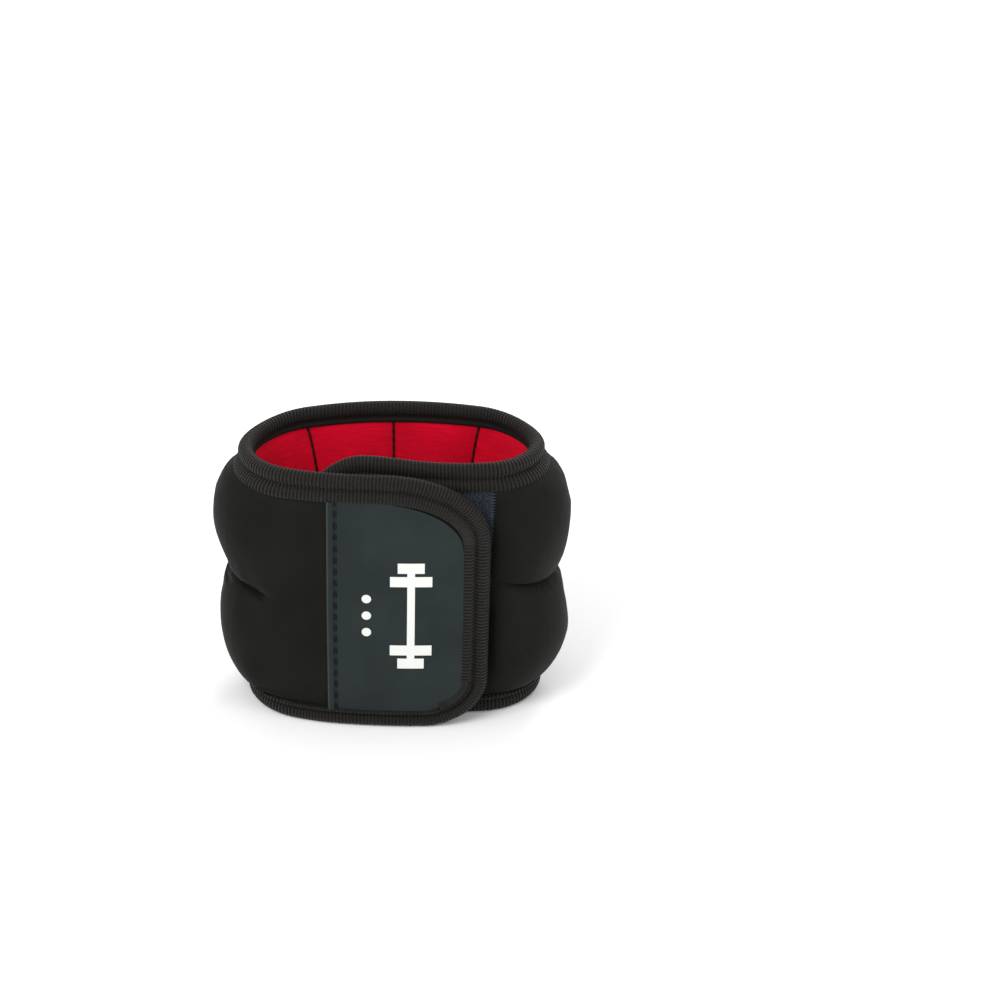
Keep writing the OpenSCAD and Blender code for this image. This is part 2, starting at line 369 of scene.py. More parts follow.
class Finish:
    """A procedural finish: one shader, with its pattern read in millimetres of cloth."""

    def __init__(self, name, roughness, sheen=0.0, specular=0.5):
        self.material = bpy.data.materials.new(name)
        self.material.use_nodes = True
        self.nodes = self.material.node_tree.nodes
        self.links = self.material.node_tree.links
        self.shader = self.nodes["Principled BSDF"]
        self.fill(self.shader, Roughness=roughness, Specular_IOR_Level=specular,
                  Sheen_Weight=sheen)

    def add(self, kind, **settings):
        node = self.nodes.new(kind)
        for key, value in settings.items():
            setattr(node, key, value)
        return node

    def fill(self, node, **values):
        for key, value in values.items():
            node.inputs[key.replace("_", " ")].default_value = value

    def link(self, source, target):
        self.links.new(source, target)

    def cloth(self, scale=(1, 1)):
        """Cloth millimetres, along the strip and up it, times a scale."""
        place = self.add("ShaderNodeUVMap", uv_map="cloth")
        mapping = self.add("ShaderNodeMapping")
        mapping.inputs["Scale"].default_value = (scale[0] / MM, scale[1] / MM, 1)
        self.link(place.outputs[0], mapping.inputs["Vector"])
        return mapping.outputs[0]

    def along_and_up(self):
        parts = self.add("ShaderNodeSeparateXYZ")
        self.link(self.cloth(), parts.inputs[0])
        return parts.outputs[0], parts.outputs[1]

    def solid(self):
        """Object millimetres."""
        place = self.add("ShaderNodeTexCoord")
        mapping = self.add("ShaderNodeMapping")
        mapping.inputs["Scale"].default_value = (1 / MM,) * 3
        self.link(place.outputs["Object"], mapping.inputs["Vector"])
        return mapping.outputs[0]

    def noise(self, vector, scale, detail=2.0, rough=0.5):
        node = self.add("ShaderNodeTexNoise")
        self.fill(node, Scale=scale, Detail=detail, Roughness=rough)
        self.link(vector, node.inputs["Vector"])
        return node.outputs["Fac"]

    def waves(self, vector, scale, direction="X", distortion=0.0):
        node = self.add("ShaderNodeTexWave", wave_type="BANDS", bands_direction=direction)
        self.fill(node, Scale=scale, Distortion=distortion)
        self.link(vector, node.inputs["Vector"])
        return node.outputs["Fac"]

    def maths(self, operation, a, b):
        node = self.add("ShaderNodeMath", operation=operation)
        for value, target in ((a, node.inputs[0]), (b, node.inputs[1])):
            if isinstance(value, (int, float)):
                target.default_value = value
            else:
                self.link(value, target)
        return node.outputs[0]

    def span(self, value, low, high, to_low=0.0, to_high=1.0):
        node = self.add("ShaderNodeMapRange")
        self.link(value, node.inputs["Value"])
        self.fill(node, From_Min=low, From_Max=high, To_Min=to_low, To_Max=to_high)
        return node.outputs[0]

    def blend(self, share, first, second):
        """A colour between two colours or two colour outputs."""
        node = self.add("ShaderNodeMix", data_type="RGBA")
        self.link(share, node.inputs["Factor"])
        for value, target in ((first, node.inputs[6]), (second, node.inputs[7])):
            if isinstance(value, tuple):
                target.default_value = (*value, 1)
            else:
                self.link(value, target)
        return node.outputs[2]

    def colour(self, output):
        self.link(output, self.shader.inputs["Base Color"])

    def shine(self, output):
        self.link(output, self.shader.inputs["Roughness"])

    def bumps(self, *layers):
        """Bump from (height output, strength, depth in millimetres), one on another."""
        normal = None
        for height, strength, depth in layers:
            node = self.add("ShaderNodeBump")
            self.fill(node, Strength=strength, Distance=depth * MM)
            self.link(height, node.inputs["Height"])
            if normal:
                self.link(normal, node.inputs["Normal"])
            normal = node.outputs[0]
        self.link(normal, self.shader.inputs["Normal"])


def knit(finish, pitch):
    """Height of a fine jersey knit: columns of stitches crossed by their rows."""
    across = finish.waves(finish.cloth(), 0.31 / pitch, "X", 1.2)
    up = finish.waves(finish.cloth(), 0.42 / pitch, "Y", 1.6)
    return finish.maths("MULTIPLY", across, up)


def make_neoprene():
    finish = Finish("neoprene_black", 0.78, sheen=0.02, specular=0.08)
    stitches = knit(finish, 0.45)
    cloudy = finish.noise(finish.solid(), 0.045, 3.0)
    dust = finish.noise(finish.cloth(), 1.7, 2.0, 0.7)
    dark = finish.blend(stitches, (0.0040, 0.0040, 0.0034), (0.0072, 0.0072, 0.0063))
    light = finish.blend(stitches, (0.0066, 0.0066, 0.0059), (0.0112, 0.0112, 0.0103))
    shade = finish.blend(finish.span(cloudy, 0.35, 0.65), dark, light)
    finish.colour(finish.blend(finish.span(dust, 0.66, 0.8, 0, 0.35), shade,
                               (0.024, 0.0235, 0.022)))
    finish.shine(finish.span(cloudy, 0.3, 0.7, 0.66, 0.8))
    finish.bumps((stitches, 0.2, 0.1), (finish.noise(finish.solid(), 0.16, 4.0), 0.35, 0.6))
    return finish.material


def make_jersey():
    finish = Finish("jersey_red", 0.85, sheen=0.03, specular=0.06)
    stitches = knit(finish, 0.4)
    slub = finish.noise(finish.cloth((0.12, 1.6)), 1.0, 3.0, 0.6)
    cloudy = finish.noise(finish.solid(), 0.06, 3.0)
    dark = finish.blend(stitches, (0.44, 0.0008, 0.013), (0.62, 0.0018, 0.022))
    light = finish.blend(stitches, (0.56, 0.0013, 0.018), (0.74, 0.0025, 0.030))
    cloth = finish.blend(finish.span(slub, 0.35, 0.65), dark, light)
    cloth = finish.blend(finish.span(cloudy, 0.4, 0.75, 0, 0.35), cloth, (0.30, 0.001, 0.012))
    along, _ = finish.along_and_up()
    # Painted shade: a near-black line painted down each channel seam, within the stitched
    # channels.
    to_seam = finish.maths("PINGPONG", along, CHANNEL / 2)
    filled = finish.maths("LESS_THAN", finish.maths("ABSOLUTE", along, 0), SEAM + 2)
    seam = finish.maths("MULTIPLY", finish.span(to_seam, 0.1, 0.75, 1.0, 0.0), filled)
    finish.colour(finish.blend(seam, cloth, (0.022, 0.0035, 0.004)))
    finish.bumps((stitches, 0.5, 0.12), (slub, 0.25, 0.15),
                 (finish.noise(finish.solid(), 0.2, 3.0), 0.3, 0.5))
    return finish.material


def make_grosgrain():
    finish = Finish("binding_black", 0.7, sheen=0.03, specular=0.1)
    yarn = finish.waves(finish.cloth(), 0.75, "Y", 1.0)
    fibre = finish.noise(finish.solid(), 1.3, 3.0, 0.65)
    cloudy = finish.noise(finish.solid(), 0.08, 2.0)
    shade = finish.blend(finish.span(fibre, 0.35, 0.7), (0.0030, 0.0026, 0.0020),
                         (0.0080, 0.0072, 0.0058))
    finish.colour(finish.blend(finish.span(cloudy, 0.35, 0.7, 0, 0.5), shade,
                               (0.0058, 0.0052, 0.0042)))
    finish.bumps((yarn, 0.2, 0.08), (fibre, 0.4, 0.1))
    return finish.material


def make_rib_yarn():
    finish = Finish("binding_rib", 0.6, sheen=0.05, specular=0.14)
    fibre = finish.noise(finish.solid(), 1.6, 3.0, 0.65)
    # Painted highlight: the rib yarn is painted lighter than the tape between its ribs.
    shade = finish.blend(finish.span(fibre, 0.3, 0.7), (0.0055, 0.0050, 0.0040),
                         (0.0160, 0.0148, 0.0125))
    along, up = finish.along_and_up()
    # Painted shade: the rib highlight is painted darker towards the foot of the strip and round
    # the back and sides of the mouth.
    low = finish.span(up, HEIGHT / 4, HEIGHT - BAND, 0.85, 0.0)
    far_round = finish.maths("ABSOLUTE", along, 0)
    rib_shade_share = finish.maths("MAXIMUM", low, finish.span(far_round, BACK_END - 2, FRONT, 0.75, 0.0))
    finish.colour(finish.blend(rib_shade_share, shade, (0.0066, 0.0060, 0.0050)))
    finish.bumps((fibre, 0.35, 0.08))
    return finish.material


def make_label_skin():
    finish = Finish("label_slate", 0.48, specular=0.2)
    grain = finish.add("ShaderNodeTexVoronoi", feature="DISTANCE_TO_EDGE")
    grain.inputs["Scale"].default_value = 1.9
    finish.link(finish.cloth(), grain.inputs["Vector"])
    pores = finish.span(grain.outputs[0], 0.0, 0.18)
    cloudy = finish.noise(finish.solid(), 0.05, 3.0)
    scuffs = finish.noise(finish.cloth((0.5, 0.08)), 0.9, 4.0, 0.7)
    shade = finish.blend(finish.span(cloudy, 0.35, 0.68), (0.0060, 0.0112, 0.0112),
                         (0.0110, 0.0175, 0.0172))
    worn = finish.blend(finish.span(scuffs, 0.62, 0.85, 0, 0.25), shade, (0.028, 0.036, 0.036))
    along, _ = finish.along_and_up()
    # Painted highlight: a light line painted along the label's folded edge.
    lip_highlight = finish.span(along, LABEL_SEAM - 1.3, LABEL_SEAM - 0.8, 0.6, 0.0)
    finish.colour(finish.blend(lip_highlight, worn, (0.040, 0.052, 0.052)))
    finish.shine(finish.span(scuffs, 0.35, 0.75, 0.46, 0.58))
    finish.bumps((pores, 0.12, 0.05), (finish.noise(finish.solid(), 0.12, 3.0), 0.25, 0.5))
    return finish.material


def make_print():
    finish = Finish("mark_white", 0.55, specular=0.4)
    wear = finish.noise(finish.cloth(), 2.2, 4.0, 0.7)
    finish.colour(finish.blend(finish.span(wear, 0.62, 0.78, 0, 0.5), (0.66, 0.67, 0.64),
                               (0.46, 0.47, 0.45)))
    finish.bumps((wear, 0.2, 0.04))
    return finish.material


def make_thread(name, dark, light):
    finish = Finish(name, 0.55, sheen=0.02, specular=0.15)
    twist = finish.waves(finish.cloth(), 1.1, "DIAGONAL", 0.3)
    finish.colour(finish.blend(twist, dark, light))
    finish.bumps((twist, 0.5, 0.08))
    return finish.material


def make_pile():
    finish = Finish("loop_pile", 0.85, sheen=0.1, specular=0.1)
    fuzz = finish.noise(finish.solid(), 1.2, 4.0, 0.7)
    finish.colour(finish.blend(finish.span(fuzz, 0.35, 0.7), (0.006, 0.0075, 0.011),
                               (0.040, 0.050, 0.066)))
    finish.bumps((fuzz, 0.8, 0.3))
    return finish.material


def plain_weave(finish, scale):
    """Height of a plain weave, its yarns crossing along the strip and up it."""
    return finish.maths("MULTIPLY", finish.waves(finish.cloth(), scale, "X"),
                        finish.waves(finish.cloth(), scale, "Y"))


def make_hook_tape():
    finish = Finish("hook_tape", 0.5, specular=0.2)
    weave = plain_weave(finish, 0.5)
    finish.colour(finish.blend(weave, (0.003, 0.003, 0.0032), (0.012, 0.012, 0.0125)))
    finish.bumps((weave, 0.6, 0.2))
    return finish.material


def make_pouch_cloth():
    finish = Finish("iron_sand_pouch", 0.6, sheen=0.1)
    grains = finish.noise(finish.solid(), 0.7, 3.0, 0.6)
    weave = plain_weave(finish, 0.6)
    finish.colour(finish.blend(finish.span(grains, 0.35, 0.65), (0.12, 0.12, 0.125),
                               (0.21, 0.21, 0.215)))
    finish.bumps((weave, 0.4, 0.1), (grains, 0.5, 0.4))
    return finish.material


def make_foam():
    finish = Finish("foam_pad", 0.9)
    cells = finish.add("ShaderNodeTexVoronoi")
    cells.inputs["Scale"].default_value = 1.4
    finish.link(finish.solid(), cells.inputs["Vector"])
    finish.colour(finish.blend(finish.span(cells.outputs[0], 0.1, 0.6), (0.45, 0.45, 0.43),
                               (0.7, 0.7, 0.67)))
    finish.bumps((cells.outputs[0], 0.5, 0.2))
    return finish.material


NEOPRENE = make_neoprene()
JERSEY = make_jersey()
GROSGRAIN = make_grosgrain()
RIB_YARN = make_rib_yarn()
LABEL_SKIN = make_label_skin()
PRINT = make_print()
THREAD = make_thread("thread_black", (0.001, 0.001, 0.001), (0.006, 0.006, 0.006))
EDGE_THREAD = make_thread("thread_edge", (0.012, 0.017, 0.021), (0.042, 0.055, 0.062))
PILE = make_pile()
HOOK_TAPE = make_hook_tape()
POUCH_CLOTH = make_pouch_cloth()
FOAM = make_foam()


# ---------------------------------------------------------------- cover and lining

RIDE_UP = 1.6                       # the filling starts this far up under the tape
UPPER_ROLL, LOWER_ROLL = 8.4, 8.0   # how far the two rows of filling stand out
ONE_ROLL = 9.0                      # and where they run into one
DIMPLE, DIMPLE_AT = 3.2, 76.0       # the pucker at the end of the crease
PILLOW = 2.8                        # how far the lining stands in between its seams
COVER_EDGE, LINING_EDGE = 6.0, 5.0  # the layers end this far inside the rolled edge


def panel(label, outer, inner, inset, material, replaced, step, rows, press=None):
    """A layer of the strip: an outer and an inner skin, inset from its whole edge."""
    along = stations(LANDING_TIP + inset, FLAP_TIP - inset, step)
    even = np.linspace(-1, 1, rows)
    share = even - 0.6 * np.sin(2 * math.pi * even) / (2 * math.pi)
    s, v = np.meshgrid(along, share, indexing="ij")
    up = HEIGHT / 2 + v * np.where(v > 0, reach(s, inset, True), reach(s, inset, False))
    flat = skins(s, up, outer(s, up), inner(s, up))
    world = wrap(flat)
    if press:
        world = press(world, flat, len(along), rows)
    cut_into_zones(label, flat, shell(len(along), rows), material, replaced,
                   world=world)


def crease_height(along):
    """The lengthwise seam wanders down towards its end, and up under the flap's edge."""
    return (CREASE + 3.4 * step_up(along, 10, 40) - 2.2 * step_up(along, 62, 76)
            + 4.5 * step_up(-along, 62, 84))


def fullness(along):
    """How full the filling stands: let down to the label seam and under the landing."""
    left = 1 - step_up(along, 68, LABEL_SEAM - 1.5) ** 1.15
    right = np.sqrt(1 - step_up(-along, 72, SEAM))
    return np.where(np.asarray(along) > 0, left, right)


def rows_of_filling(along, up):
    """Two soft rolls, one above the other, that run into one towards the label."""
    middle = crease_height(along)
    top, foot = HEIGHT - BAND + RIDE_UP, FOOT_BAND
    above = up > middle
    share = np.where(above, (up - middle) / (top - middle), (middle - up) / (middle - foot))
    inside = np.clip(share, 0, 1)
    roll = np.sin(np.pi * inside ** np.where(above, 1.4, 1.15)) ** np.where(above, 0.5, 0.6)
    height = np.where(above, UPPER_ROLL, LOWER_ROLL)
    groove = 1.3 * np.exp(-np.abs(up - middle) / 0.9)
    two = 3.5 * (1 - inside) + height * roll - groove
    one = ONE_ROLL * np.sin(np.pi * np.clip((up - foot) / (top - foot), 0, 1)) ** 0.6
    joined = step_up(along, 73, 83)
    swell = two * (1 - joined) + one * joined
    dimple = np.exp(-((along - DIMPLE_AT) / 4.2) ** 2 - ((up - middle) / 2.3) ** 2)
    return swell - DIMPLE * dimple


def channel_wave(along):
    """A slight waist over each of the cross seams inside."""
    waist = np.abs(np.sin(np.pi * np.asarray(along) / CHANNEL)) ** 0.8
    return 1 - 0.055 * (1 - waist)


def cover_face(along, up):
    return FACE + fullness(along) * channel_wave(along) * rows_of_filling(along, up)


def cover_back(along, up):
    return cover_face(along, up) - SKIN


def lining_back(along, up):
    """The inward side of the lining: a shallow pillow in each channel, stitched flat between."""
    inside = (np.abs(along) < SEAM) * 1.0
    across = np.abs(np.sin(np.pi * along / CHANNEL)) ** 0.7
    share = np.clip((up - INNER_BAND) / (HEIGHT - 2 * INNER_BAND), 0, 1)
    row = np.abs(np.sin(2 * np.pi * share)) ** 0.55
    row = 0.35 * np.sin(np.pi * share) ** 0.5 + 0.65 * row
    return -FACE - PILLOW * inside * across * row


def lining_face(along, up):
    return lining_back(along, up) + SKIN


def body_nodes(*kinds):
    """For each body, the CAD nodes of these kinds that are on it."""
    found = {}
    for body, _, _ in FLAP_SIDE + LANDING_SIDE:
        short = {"flap_root": "root"}.get(body, body)
        names = [f"{short}_{kind}" for kind in kinds]
        found[body] = [name for name in names if name in frame["nodes"]]
    return found


LOOSE = 10.0                        # the cloth is solved at this many times its size
GIVE = 0.8 * MM                     # and no point of it moves further than this
SETTLE = 14                         # steps that the cloth is given


def press_out(world, flat, columns, rows):
    """Lets the filling press the cover out as cloth, held at its edges, seams and creases."""
    outer = columns * rows
    cloth = new_object("pressed", (world[:outer] * LOOSE).tolist(), [],
                       grid_faces(columns, rows, flip=True))
    along, up = flat[:outer, 0], flat[:outer, 2]
    at_edge = (up < FOOT_BAND + 1.5) | (up > HEIGHT - BAND - 1.5)
    at_end = (along > LABEL_LOW - 2) | (along < -SEAM + 3)
    in_crease = (np.abs(up - crease_height(along)) < 0.8) & (along < DIMPLE_AT + 1)
    held = cloth.vertex_groups.new(name="held")
    held.add(np.nonzero(at_edge | at_end | in_crease)[0].tolist(), 1.0, "REPLACE")
    solver = cloth.modifiers.new("filling", "CLOTH")
    for name, value in dict(quality=6, mass=0.25, tension_stiffness=12,
                            compression_stiffness=12, shear_stiffness=6,
                            bending_stiffness=0.4, use_pressure=True,
                            uniform_pressure_force=1.5, shrink_min=-0.012,
                            vertex_group_mass="held").items():
        setattr(solver.settings, name, value)
    solver.settings.effector_weights.gravity = 0
    solver.collision_settings.use_collision = False
    solver.point_cache.frame_start, solver.point_cache.frame_end = 1, SETTLE
    scene = bpy.context.scene
    for step in range(1, SETTLE + 1):
        scene.frame_set(step)
    ready = cloth.evaluated_get(bpy.context.evaluated_depsgraph_get())
    settled = np.zeros(outer * 3)
    ready.data.vertices.foreach_get("co", settled)
    scene.frame_set(1)
    discard(cloth)
    move = settled.reshape(-1, 3) / LOOSE - world[:outer]
    far = np.linalg.norm(move, axis=1, keepdims=True)
    move *= GIVE * np.tanh(far / GIVE) / np.maximum(far, 1e-9)
    world = world.copy()
    world[:outer] += move
    world[outer:] += move
    return world


def make_cover():
    panel("cover", cover_face, cover_back, COVER_EDGE, NEOPRENE, body_nodes("cover", "shell"),
          step=1.3, rows=96, press=press_out)


def make_lining():
    panel("lining", lining_face, lining_back, LINING_EDGE, JERSEY, body_nodes("lining"),
          step=1.4, rows=44)


# ---------------------------------------------------------------- rolled edge binding

def binding_section():
    """The binding's section as (out, depth below the edge), and how much of it shows."""
    inner = [(-1.5, 6.2), (-2.0, 6.3), (-2.4, 5.9), (-2.45, 5.4), (-2.15, 4.95),
             (-1.8, 4.5)]
    roll = []
    for k in range(19):
        angle = math.radians(212 - k * 244 / 18)
        roll.append((ROLL * math.cos(angle), ROLL - ROLL * math.sin(angle)))
    outer = [(1.45, 4.45), (1.4, GROOVE), (2.0, 5.2), (2.75, 5.8), (3.1, 6.6), (3.1, 7.6),
             (2.8, 8.5), (2.2, BAND), (1.5, BAND)]
    under = [(0.9, BAND - 0.7), (0.9, 6.5), (0.7, 4.8), (0.0, 4.3), (-0.9, 4.8), (-0.9, 5.8)]
    shown = inner + roll + outer
    return shown + under, (len(inner) + 2, len(shown))


def lifted(along, depth, top):
    """How far the filling lifts the outer band of the tape along the mouth."""
    return 1.5 * fullness(along) * step_up(depth, GROOVE, BAND) * top


def tucked(depth, up_way):
    """At the foot the outer band is tucked under the filling, so less of it shows."""
    share = np.clip(up_way, 0, 1)
    tight = (FOOT_BAND - GROOVE) / (BAND - GROOVE)
    beyond = np.maximum(depth - GROOVE, 0)
    return depth - beyond * (1 - tight) * share


def edge_path(step=1.5):
    """The strip's whole edge, flap end clockwise, as (along, up) with its inward side."""

    def corner(tip, toward, level, rise, size, start):
        wide, tall = size
        s, z = tip - toward * wide, level - rise * tall
        points = []
        for k in range(1, 21):
            a = math.radians(start - 90 * k / 20)
            inward = np.array([-math.cos(a) / wide, -math.sin(a) / tall])
            inward /= np.linalg.norm(inward)
            points.append((s + wide * math.cos(a), z + tall * math.sin(a), *inward))
        return points

    low, high = LANDING_TIP, FLAP_TIP
    round_end = LANDING_CORNER
    top = stations(low + round_end[0], high - FLAP_TOP_CORNER[0], step)
    foot = stations(low + round_end[0], high - FLAP_FOOT_CORNER[0], step)[::-1]
    flap_end = np.arange(HEIGHT - FLAP_TOP_CORNER[1] - step,
                         FLAP_FOOT_CORNER[1] + step / 2, -step)
    landing_end = np.arange(round_end[1] + step, HEIGHT - round_end[1] - step / 2, step)
    return np.array([(s, HEIGHT, 0, -1) for s in top]
                    + corner(high, 1, HEIGHT, 1, FLAP_TOP_CORNER, 90)
                    + [(high, z, -1, 0) for z in flap_end]
                    + corner(high, 1, 0, -1, FLAP_FOOT_CORNER, 0)
                    + [(s, 0, 0, 1) for s in foot]
                    + corner(low, -1, 0, -1, round_end, -90)
                    + [(low, z, 1, 0) for z in landing_end]
                    + corner(low, -1, HEIGHT, 1, round_end, 180)[:-1], float)


def make_binding():
    section, _ = binding_section()
    path = edge_path()
    count, around = len(path), len(section)
    flat = np.zeros((count, around, 3))
    for j, (out, depth) in enumerate(section):
        deep = tucked(depth, path[:, 3])
        flat[:, j, 0] = path[:, 0] + path[:, 2] * deep
        flat[:, j, 1] = out
        if out > 0:
            flat[:, j, 1] += lifted(path[:, 0], depth, path[:, 3] < -0.99)
        flat[:, j, 2] = path[:, 1] + path[:, 3] * deep
    faces, middles = [], []
    for i in range(count):
        k = (i + 1) % count
        for j in range(around):
            m = (j + 1) % around
            faces.append([i * around + j, k * around + j, k * around + m, i * around + m])
            middles.append((path[i, 0] + path[k, 0]) / 2)
    cut_into_zones("binding", flat.reshape(-1, 3), faces, GROSGRAIN, body_nodes("binding"),
                   middles=np.array(middles), sharp=80)


# ---------------------------------------------------------------- repeats along a path

def join(tree, *pairs):
    for source, target in pairs:
        tree.links.new(source, target)


def new_tree(name, inputs, output):
    """A tree with named inputs, whose end sets a turned shape at each point it is given."""
    tree = bpy.data.node_groups.new(name, "GeometryNodeTree")
    for label, kind in dict(inputs, Shape="Object", Finish="Material").items():
        tree.interface.new_socket(label, in_out="INPUT", socket_type="NodeSocket" + kind)
    tree.interface.new_socket(output, in_out="OUTPUT", socket_type="NodeSocketGeometry")
    add = tree.nodes.new
    start, end = add("NodeGroupInput"), add("NodeGroupOutput")
    turn, shape = add("ShaderNodeCombineXYZ"), add("GeometryNodeObjectInfo")
    place, real = add("GeometryNodeInstanceOnPoints"), add("GeometryNodeRealizeInstances")
    finish = add("GeometryNodeSetMaterial")
    join(tree, (turn.outputs[0], place.inputs["Rotation"]),
         (start.outputs["Shape"], shape.inputs["Object"]),
         (shape.outputs["Geometry"], place.inputs["Instance"]),
         (place.outputs[0], real.inputs[0]), (real.outputs[0], finish.inputs[0]),
         (start.outputs["Finish"], finish.inputs["Material"]),
         (finish.outputs[0], end.inputs[0]))
    return tree, start, turn, place


def repeat_tree():
    """Sets one shape at even steps along a line, each turned to follow it."""
    tree, start, turn, place = new_tree("set_along_seam", {"Seam": "Geometry",
                                                           "Pitch": "Float"}, "Repeats")
    add = tree.nodes.new
    curve, resample = add("GeometryNodeMeshToCurve"), add("GeometryNodeResampleCurve")
    resample.mode = "LENGTH"
    tangent, parts = add("GeometryNodeInputTangent"), add("ShaderNodeSeparateXYZ")
    angle, back = add("ShaderNodeMath"), add("ShaderNodeMath")
    angle.operation, back.operation = "ARCTAN2", "MULTIPLY"
    back.inputs[1].default_value = -1
    join(tree, (start.outputs["Seam"], curve.inputs[0]),
         (curve.outputs[0], resample.inputs["Curve"]),
         (start.outputs["Pitch"], resample.inputs["Length"]),
         (resample.outputs[0], place.inputs["Points"]),
         (tangent.outputs[0], parts.inputs[0]), (parts.outputs["Z"], angle.inputs[0]),
         (parts.outputs["X"], angle.inputs[1]), (angle.outputs[0], back.inputs[0]),
         (back.outputs[0], turn.inputs["Y"]))
    return tree


def scatter_tree():
    """Strews one shape over a patch at random, each turned its own way."""
    tree, start, turn, place = new_tree("strew_over_patch", {
        "Patch": "Geometry", "Spacing": "Float", "Density": "Float", "Turn": "Float"}, "Strewn")
    points = tree.nodes.new("GeometryNodeDistributePointsOnFaces")
    chance = tree.nodes.new("FunctionNodeRandomValue")
    points.distribute_method = "POISSON"
    points.inputs["Seed"].default_value = 7
    chance.inputs["Seed"].default_value = 11
    join(tree, (start.outputs["Patch"], points.inputs["Mesh"]),
         (start.outputs["Spacing"], points.inputs["Distance Min"]),
         (start.outputs["Density"], points.inputs["Density Max"]),
         (start.outputs["Turn"], chance.inputs[3]),
         (points.outputs["Points"], place.inputs["Points"]),
         (chance.outputs[1], turn.inputs["Y"]))
    return tree


SET_ALONG = repeat_tree()
STREW = scatter_tree()


def grown(tree, base_points, base_edges, base_faces, shape, material, **sizes):
    """Runs a tree on a flat base, and gives back the flat points and faces that it makes."""
    base = new_object("base", base_points, base_edges, base_faces)
    pattern = new_object("pattern", shape[0], [], shape[1])
    modifier = base.modifiers.new("repeat", "NODES")
    modifier.node_group = tree
    sockets = {i.name: i.identifier for i in tree.interface.items_tree if i.in_out == "INPUT"}
    for name, value in dict(sizes, Shape=pattern, Finish=material).items():
        modifier[sockets[name]] = value
    bpy.context.view_layer.update()
    ready = base.evaluated_get(bpy.context.evaluated_depsgraph_get())
    made = bpy.data.meshes.new_from_object(ready)
    flat = np.zeros(len(made.vertices) * 3)
    made.vertices.foreach_get("co", flat)
    faces = [list(p.vertices) for p in made.polygons]
    base.modifiers.remove(modifier)
    discard(base, pattern)
    bpy.data.meshes.remove(made)
    return flat.reshape(-1, 3), faces


def own_middle(flat, size):
    """For each point, the middle of the repeat that it belongs to."""
    return np.repeat(flat.reshape(-1, size, 3).mean(1), size, axis=0)


def lay_repeats(label, flat, faces, size, material, replaced, zones=None):
    """Cuts a layer of repeats into zones, each repeat going whole with its middle."""
    middles = own_middle(flat, size)[[f[0] for f in faces], 0]
    cut_into_zones(label, flat, faces, material, replaced, zones, middles=middles,
                   sharp=180)


def tube(rings, sides, inside_out=False):
    """Faces of a thread made of rings of points, with its two ends closed."""
    faces = []
    for i in range(rings - 1):
        for k in range(sides):
            a, b = i * sides + k, i * sides + (k + 1) % sides
            faces.append([a, b, b + sides, a + sides])
    last = (rings - 1) * sides
    faces += [list(range(sides))[::-1], list(range(last, last + sides))]
    return [face[::-1] for face in faces] if inside_out else faces


RIB_PITCH, RIB_WIDTH = 1.16, 0.68
RIB_PROUD, RIB_FLUSH = 0.24, 0.05   # how far a rib stands up: fresh, and worn flat


def rib_shape(proud):
    """One rib of the tape: a low half-round yarn that follows the binding's section."""
    section, (first, last_shown) = binding_section()
    line = np.array(section[first:last_shown - 1])
    ahead = np.roll(line, -1, 0) - np.roll(line, 1, 0)
    ahead[0], ahead[-1] = line[1] - line[0], line[-1] - line[-2]
    ahead /= np.linalg.norm(ahead, axis=1)[:, None]
    outwards = np.stack([-ahead[:, 1], ahead[:, 0]], -1)
    half_round = ((-0.5, -0.25), (-0.3, 0.6), (0, 1), (0.3, 0.6), (0.5, -0.25))
    points = []
    for place, away in zip(line, outwards):
        for across, lift in half_round:
            out, depth = place + away * lift * proud
            points.append((across * RIB_WIDTH, out, -depth))
    return points, tube(len(line), len(half_round))


def flattened(along, up):
    """How far the ribs lie flat in the tape: not at all along the front of the mouth."""
    front = step_up(np.abs(along), BACK_END, FRONT)
    low = 1 - step_up(up, HEIGHT / 2, HEIGHT - BAND)
    return np.maximum(0.65 * (1 - front), 0.85 * low)


def make_ribs():
    path = edge_path(1.0)
    points = [(s, 0, z) for s, z in path[:, :2]]
    edges = [(i, (i + 1) % len(points)) for i in range(len(points))]
    shape = rib_shape(RIB_PROUD)
    flat, faces = grown(SET_ALONG, points, edges, [], shape, RIB_YARN, Pitch=RIB_PITCH)
    flush, _ = grown(SET_ALONG, points, edges, [], rib_shape(RIB_FLUSH), RIB_YARN,
                     Pitch=RIB_PITCH)
    size = len(shape[0])
    middle = own_middle(flat, size)
    flat += (flush - flat) * flattened(middle[:, 0], middle[:, 2])[:, None]
    foot = np.repeat(flat[:, 2].reshape(-1, size).min(1), size)
    span = np.repeat(np.ptp(flat[:, 2].reshape(-1, size), axis=1), size)
    depth = flat[:, 2] - foot
    upright = np.clip((span - 2.5) / (BAND - 2.5), 0, 1) * (foot < 1.0)
    flat[:, 2] = foot + tucked(depth, upright)
    straight = (foot > HEIGHT - BAND - 1.0) & (flat[:, 1] > 0)
    flat[:, 1] += lifted(flat[:, 0], HEIGHT - flat[:, 2], straight)
    lay_repeats("binding_ribs", flat, faces, size, RIB_YARN, {})


def stitch_shape(length, thick):
    """One stitch: a short thread that dips into the cloth at both ends."""
    sides, rings = 6, 7
    points = []
    for i in range(rings):
        t = -1 + 2 * i / (rings - 1)
        girth = thick / 2 * math.sqrt(max(1 - abs(t) ** 3, 0.05))
        for k in range(sides):
            angle = 2 * math.pi * k / sides
            points.append((t * length / 2, girth * math.cos(angle) - thick * 0.6 * t * t,
                           girth * math.sin(angle)))
    return points, tube(rings, sides, inside_out=True)


